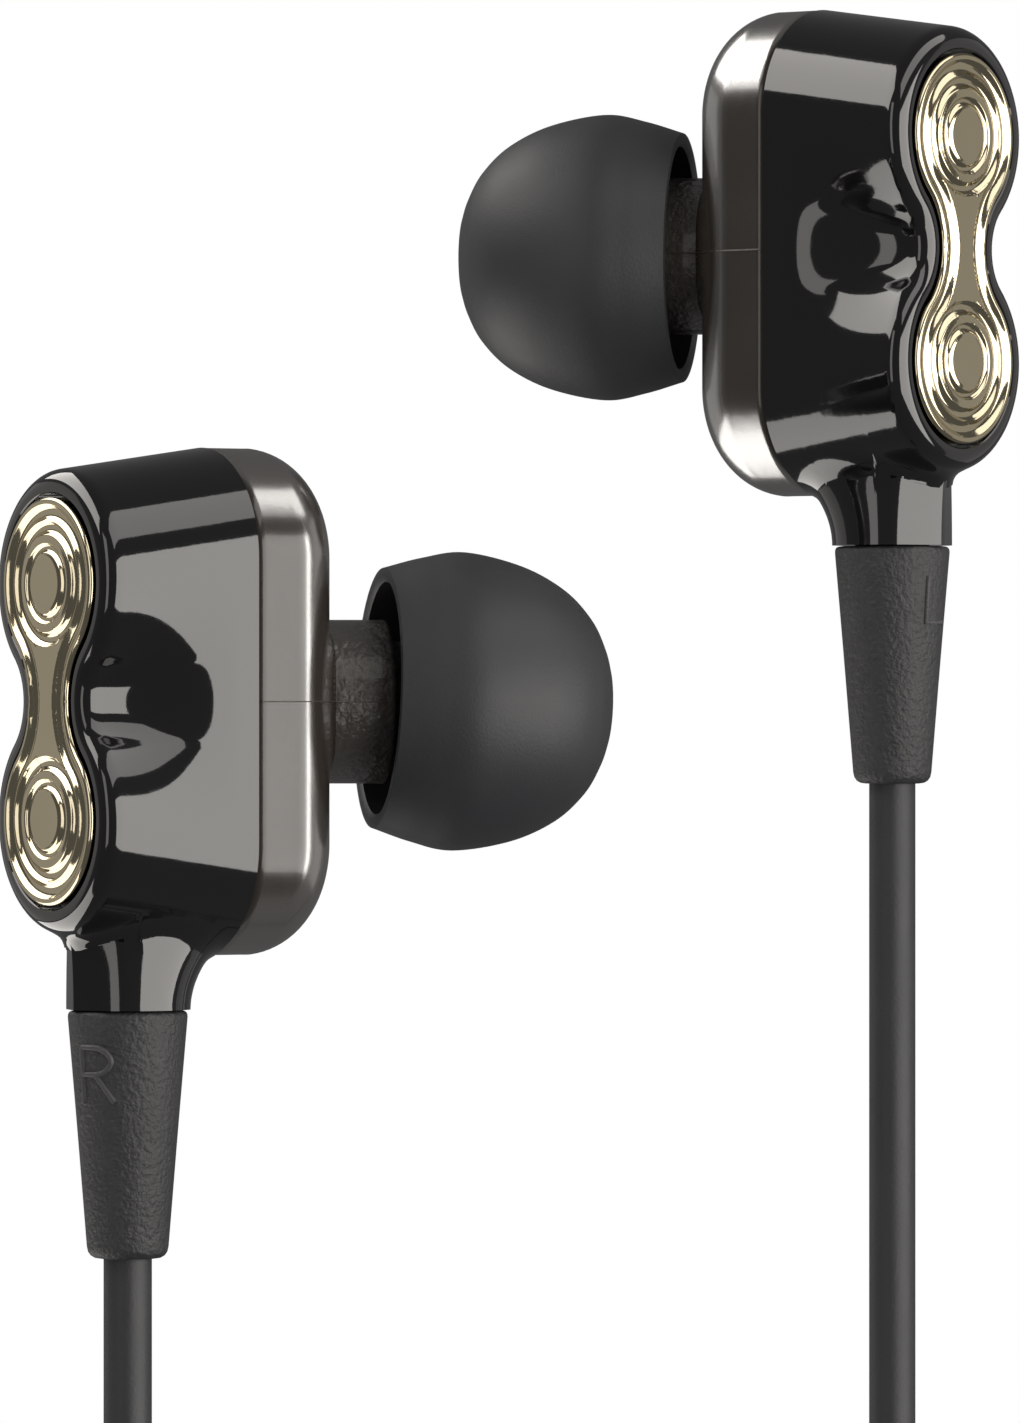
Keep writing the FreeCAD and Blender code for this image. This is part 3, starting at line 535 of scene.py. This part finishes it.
def faceplate(side):
    """Each lobe is a fan of rays from its centre to the outline or to the middle of the waist."""
    rays, rings = 288, 96
    points, faces = [], []
    for way in (1, -1):
        angles = np.linspace(0, 2 * math.pi, rays, endpoint=False)
        y_way, z_way = np.sin(angles), np.cos(angles)
        reach = np.full(rays, PLATE_RADIUS)
        for _ in range(60):
            y, z = reach * y_way, FRONT_SPACING + reach * z_way
            to_middle = np.where(z_way < -0.05, z / np.maximum(-z_way, 0.05), 9)
            inside = np.minimum(plate_edge_distance(y, z), to_middle)
            reach = np.clip(reach + 0.7 * inside, 0.5, FRONT_SPACING + 1.7)
        offset = len(points)
        points.append((0, 0, way * FRONT_SPACING))
        for ring in range(1, rings + 1):
            share = ring / rings
            share = share * 0.75 + 0.25 * (1 - (1 - share) ** 2)
            for y, z in zip(reach * y_way * share, reach * z_way * share):
                points.append((0, y, way * (FRONT_SPACING + z)))
        fan = [(offset, offset + 1 + (i + 1) % rays, offset + 1 + i) for i in range(rays)]
        quads = [tuple(reversed(face)) for face in grid_faces(rings, rays, offset + 1)]
        own = fan + quads
        faces += own if way == 1 else [tuple(reversed(face)) for face in own]
        rim = offset + 1 + (rings - 1) * rays
        for drop in (0.0, 0.8):
            start = len(points)
            for index in range(rays):
                _, y, z = points[rim + index]
                points.append((drop if drop else 0.06, y, z))
            for index in range(rays):
                after = (index + 1) % rays
                pair = (points[rim + index][2] * way, points[rim + after][2] * way)
                if max(pair) < 0.02:
                    continue
                before = rim if drop == 0.0 else start - rays
                quad = (before + index, before + after, start + after, start + index)
                faces.append(tuple(reversed(quad)) if way == 1 else quad)
    p = np.array(points)
    top = p[:, 0] == 0
    p[top, 0] = -plate_height(p[top, 1], p[top, 2])
    p[p[:, 0] == 0.06, 0] = -PLATE_PROUD + 0.22
    p[p[:, 0] == 0.8, 0] = PLATE_RECESS - 0.02
    piece = make_mesh(f"{side}_gold_faceplate", placed(p, side), faces, "gold_plate",
                      flip=side == "left", sharp=50)
    weld(piece)
    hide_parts(f"{side}_faceplate")


def weld(piece, distance=0.004):
    """Joins points that lie together, such as along the waist's middle."""
    mesh = bmesh.new()
    mesh.from_mesh(piece.data)
    bmesh.ops.remove_doubles(mesh, verts=mesh.verts, dist=distance * MM)
    bmesh.ops.recalc_face_normals(mesh, faces=mesh.faces)
    mesh.to_mesh(piece.data)
    mesh.free()


# ---------------------------------------------------------------- tips, strain reliefs, marks

def turn_matrix(axis, degrees):
    c, s = math.cos(math.radians(degrees)), math.sin(math.radians(degrees))
    if axis == "y":
        return np.array([[c, 0, s], [0, 1, 0], [-s, 0, c]])
    return np.array([[c, -s, 0], [s, c, 0], [0, 0, 1]])


def ear_tip(side):
    sideways, upwards, stand_off = TIP_SEAT[side]
    outside = smooth_line(TIP_OUTLINE, 8)
    skirt = [(x, radius - TIP_SKIN) for x, radius in TIP_OUTLINE[1:4]]
    core_outer, core_inner = 3.45, 2.83
    inside = smooth_line([(0.12, 4.86)] + skirt + [(6.75, 4.6), (7.0, 4.0), (6.9, core_outer + 0.12)], 6)
    nose = round_profile([(9.62, 2.0), (9.66, 1.78), (9.2, 1.72), (7.3, 1.75)], [0, 0.12, 0.2, 0])
    core_corners = [(7.3, 1.75), (7.3, core_inner), (1.7, core_inner), (1.7, core_outer), (6.6, core_outer)]
    core = round_profile(core_corners, [0, 0, 0.12, 0.12, 0])
    rim = [(-0.02, 5.32), (-0.03, 5.14), (0.02, 4.98)]
    profile = list(outside) + nose[1:] + core[1:] + list(reversed(inside)) + list(reversed(rim))
    columns = 160
    loops = turned_points(profile, columns)
    turned = (loops + [stand_off - BARB_MIDDLE, 0, 0]) @ turn_matrix("y", -upwards).T
    turned = turned @ turn_matrix("z", sideways - CANT).T + NOZZLE_ROOT + BARB_MIDDLE * NOZZLE_WAY
    rows = len(profile)
    faces = grid_faces(rows, columns)
    last = (rows - 1) * columns
    faces += [(last + i, last + (i + 1) % columns, (i + 1) % columns, i) for i in range(columns)]
    piece = make_mesh(f"{side}_silicone_tip", placed(turned, side), faces, "silicone", body=f"{side}_ear_tip",
                      flip=side == "right", sharp=60)
    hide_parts(f"{side}_ear_tip")


def strain_relief(side):
    """Turned about the cord's axis: a shoulder, a straight taper and a rolled end, with the stem above."""
    end = RELIEF_TOP + RELIEF_LENGTH
    half_way = (RELIEF_TOP_RADIUS + RELIEF_END_RADIUS) / 2
    stem = [(RELIEF_TOP - 1.9, 1.02), (RELIEF_TOP - 1.9, 1.58), (RELIEF_TOP, 1.6)]
    corners = stem + [(RELIEF_TOP, RELIEF_TOP_RADIUS), (RELIEF_TOP + 5, half_way), (end, RELIEF_END_RADIUS),
                      (end, 1.03), (end - 1, 1.02)]
    profile = round_profile(corners, [0, 0.1, 0, 0.28, 1.0, 0.5, 0.05, 0])
    loops = turned_points(profile, 112)
    points = np.stack([CORD_DEPTH + loops[:, 1], loops[:, 2], -loops[:, 0]], axis=1)
    piece = make_mesh(f"{side}_relief", placed(points, side), grid_faces(len(profile), 112), "relief_rubber",
                      flip=side == "left", sharp=60)
    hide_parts(f"{side}_strain_relief")
    return piece


MARK_STROKES = {
    "right": [[(-0.6, -0.9), (-0.6, 0.9)], [(-0.6, 0.9), (0.2, 0.85), (0.55, 0.45), (0.2, 0.05), (-0.6, 0.0)],
              [(-0.05, 0.0), (0.6, -0.9)]],
    "left": [[(-0.5, 0.9), (-0.5, -0.9), (0.6, -0.9)]],
}


# How far below the relief's top each mark is, its size, and the way it faces in degrees from the camera.
MARK_PLACE = {"right": (2.6, 1.25, -32), "left": (2.3, 1.1, 52)}


def side_mark(side):
    """The raised R or L on the strain relief's front."""
    below_top, size, facing = MARK_PLACE[side]
    drop = RELIEF_TOP + below_top
    for number, stroke in enumerate(MARK_STROKES[side]):
        curve = bpy.data.curves.new(f"{side}_mark_{number}", "CURVE")
        curve.dimensions = "3D"
        curve.bevel_depth = 0.13 * MM
        curve.bevel_resolution = 3
        curve.use_fill_caps = True
        line = curve.splines.new("POLY")
        path = smooth_line(stroke, 6) if len(stroke) > 3 else stroke
        line.points.add(len(path) - 1)
        axis = placed([(CORD_DEPTH, 0, -drop)], side)[0]
        for point, (across, up) in zip(line.points, path):
            taper = (RELIEF_TOP_RADIUS - RELIEF_END_RADIUS) / RELIEF_LENGTH
            across, up = across * size, up * size
            radius = RELIEF_TOP_RADIUS - taper * (below_top - up) - 0.03
            turn = across / radius + math.radians(facing)
            point.co = (axis[0] + radius * MM * math.sin(turn), axis[1] - radius * MM * math.cos(turn),
                        axis[2] + up * MM, 1)
        piece = bpy.data.objects.new(f"{side}_mark_{number}", curve)
        bpy.context.scene.collection.objects.link(piece)
        curve.materials.append(MATERIALS["mark"])
        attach(piece, EARPHONES)


# ---------------------------------------------------------------- cords

def cord_exit(side):
    return placed([(CORD_DEPTH, 0, -(RELIEF_TOP + RELIEF_LENGTH))], side)[0] / MM


def coil_point(turns, radius, y):
    """A point on the coil, wound clockwise from its top as seen from the front."""
    angle = 2 * math.pi * turns
    return COIL_CENTRE[0] + radius * math.sin(angle), y, COIL_CENTRE[2] + radius * math.cos(angle)


def wound(start_turn, turns, radius_from, radius_to, y_from, y_to):
    """Points of a stretch of winding, the first one left out."""
    count = max(int(round(turns * POINTS_PER_TURN)), 1)
    points = []
    for step in range(1, count + 1):
        t = step / count
        points.append(coil_point(start_turn + turns * t, radius_from + (radius_to - radius_from) * t,
                                 y_from + (y_to - y_from) * t))
    return points


def cord_piece(name, points, nodes):
    curve = bpy.data.curves.new(name, "CURVE")
    curve.dimensions = "3D"
    curve.bevel_depth = CORD_RADIUS * MM
    curve.bevel_resolution = 6
    curve.resolution_u = 10
    curve.use_fill_caps = True
    line = curve.splines.new("NURBS")
    line.points.add(len(points) - 1)
    for point, place in zip(line.points, points):
        point.co = (*[value * MM for value in place], 1)
    line.order_u = 3
    line.use_endpoint_u = True
    piece = bpy.data.objects.new(name, curve)
    bpy.context.scene.collection.objects.link(piece)
    curve.materials.append(MATERIALS["cord_jacket"])
    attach(piece, EARPHONES)
    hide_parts(*nodes)
    return piece


def branch_cord(side):
    x, y, z = cord_exit(side)
    pair_y = PAIR_Y[side]
    route = [(x, y, z + 12), (x, y, z), (x, y, -28), (x, y, CORD_BEND_Z), (PAIR_X, pair_y, PAIR_TOP_Z),
             (PAIR_X, pair_y, -76), (PAIR_X, pair_y, -90), (PAIR_X, pair_y, PAIR_END_Z),
             (PAIR_X + 6, pair_y, PAIR_END_Z), (COIL_CENTRE[0] - 3, pair_y, PAIR_END_Z)]
    route += wound(0, 3, COIL_OUTER, COIL_INNER, pair_y, pair_y)
    route += wound(3, 0.25, COIL_INNER, COIL_INNER, pair_y, pair_y)
    cx, cz = COIL_CENTRE[0], COIL_CENTRE[2]
    route += [(cx + 8.6, pair_y, cz - 2.4), (cx + 7.4, pair_y, cz - SPLIT_DROP),
              (cx + SPLIT_HALF, pair_y, cz - SPLIT_DROP), (cx + SPLIT_HALF - 2, pair_y, cz - SPLIT_DROP)]
    return cord_piece(f"{side}_cord", route, [f"{side}_branch_cord"])


def main_cord():
    cx, cz = COIL_CENTRE[0], COIL_CENTRE[2]
    first, second, third = MAIN_LAYERS
    route = [(cx - SPLIT_HALF + 2, SPLIT_Y, cz - SPLIT_DROP), (cx - SPLIT_HALF, SPLIT_Y, cz - SPLIT_DROP),
             (cx - 7.4, SPLIT_Y - 0.3, cz - SPLIT_DROP), (cx - 8.7, SPLIT_Y - 1.4, cz - 2.4),
             coil_point(3.75, COIL_INNER, first + 0.6)]
    route += wound(3.75, 3, COIL_INNER, COIL_OUTER, first, first)
    route += wound(6.75, 0.25, COIL_OUTER, COIL_OUTER, first, second)
    route += wound(7, 3, COIL_OUTER, COIL_INNER, second, second)
    route += wound(10, 0.25, COIL_INNER, COIL_INNER, second, third)
    route += wound(10.25, 3, COIL_INNER, COIL_OUTER, third, third)
    x = cx + COIL_OUTER
    route += [(x, third, cz - 3), (x, third, cz - 8), (x, third, cz - 14), (x, third, cz - 17)]
    return cord_piece("plug_cord", route, ["main_cord", "cord_coil"])


def cords():
    branches = {side: branch_cord(side) for side in SIDES}
    for side, piece in branches.items():
        exit_point = tuple(value * MM for value in cord_exit(side))
    main_cord()


# ---------------------------------------------------------------- studio and camera

VIEW_DISTANCE, LENS = 420.0, 258.4107
VIEW_CENTRE = (2.18, -0.41)


def studio():
    world = bpy.data.worlds.new("studio")
    bpy.context.scene.world = world
    world.use_nodes = True
    nodes, links = world.node_tree.nodes, world.node_tree.links
    nodes.clear()
    out = nodes.new("ShaderNodeOutputWorld")
    seen, lit = nodes.new("ShaderNodeBackground"), nodes.new("ShaderNodeBackground")
    seen.inputs["Color"].default_value = (1, 1, 1, 1)
    seen.inputs["Strength"].default_value = 1.0
    lit.inputs["Color"].default_value = (1, 1, 1, 1)
    lit.inputs["Strength"].default_value = 0.10
    path, mix = nodes.new("ShaderNodeLightPath"), nodes.new("ShaderNodeMixShader")
    links.new(path.outputs["Is Camera Ray"], mix.inputs["Fac"])
    links.new(lit.outputs["Background"], mix.inputs[1])
    links.new(seen.outputs["Background"], mix.inputs[2])
    links.new(mix.outputs["Shader"], out.inputs["Surface"])


def soft_box(name, azimuth, elevation, width, height, radiance, distance=0.42):
    """A panel of soft light that faces the object, at an azimuth from the camera towards +X."""
    light = bpy.data.lights.new(name, "AREA")
    light.shape = "RECTANGLE"
    light.size, light.size_y = width, height
    light.energy = radiance * math.pi * width * height
    light.color = (1.0, 0.965, 0.92)
    lamp = bpy.data.objects.new(name, light)
    bpy.context.scene.collection.objects.link(lamp)
    around, above = math.radians(azimuth), math.radians(elevation)
    way = Vector((math.sin(around) * math.cos(above), -math.cos(around) * math.cos(above), math.sin(above)))
    lamp.location = way * distance
    lamp.rotation_euler = (-way).to_track_quat("-Z", "Y").to_euler()


def camera():
    data = bpy.data.cameras.new("camera")
    data.sensor_width = 36
    data.lens = LENS
    data.clip_start, data.clip_end = 0.01, 10
    eye = bpy.data.objects.new("camera", data)
    bpy.context.scene.collection.objects.link(eye)
    across, up = VIEW_CENTRE
    eye.location = (across * MM, (PLATE_CENTRE["right"][1] - VIEW_DISTANCE) * MM, up * MM)
    eye.rotation_euler = (math.pi / 2, 0, 0)
    bpy.context.scene.camera = eye


camera()
cords()
for side_name in SIDES:
    outer_shell(side_name)
    inner_shell(side_name)
    faceplate(side_name)
    ear_tip(side_name)
    strain_relief(side_name)
    side_mark(side_name)
for node_name, node_object in frame["nodes"].items():
    node_object.data.materials.clear()
    node_object.data.materials.append(MATERIALS[SLOT_OF[node_name]])
studio()
soft_box("window", 57, -2, 0.56, 0.38, 3.2)
soft_box("window_above", 60, 52, 0.60, 0.20, 1.6)
soft_box("left_high", -100, 45, 0.60, 0.24, 3.0)
soft_box("left_low", -112, -40, 0.50, 0.26, 2.2)
soft_box("left_back", -122, 0, 0.30, 0.30, 0.26)
soft_box("right_back", 116, 0, 0.22, 0.40, 0.24)
soft_box("front_left", -36, 8, 0.12, 0.40, 1.3)

bpy.context.scene.view_settings.view_transform = "Standard"
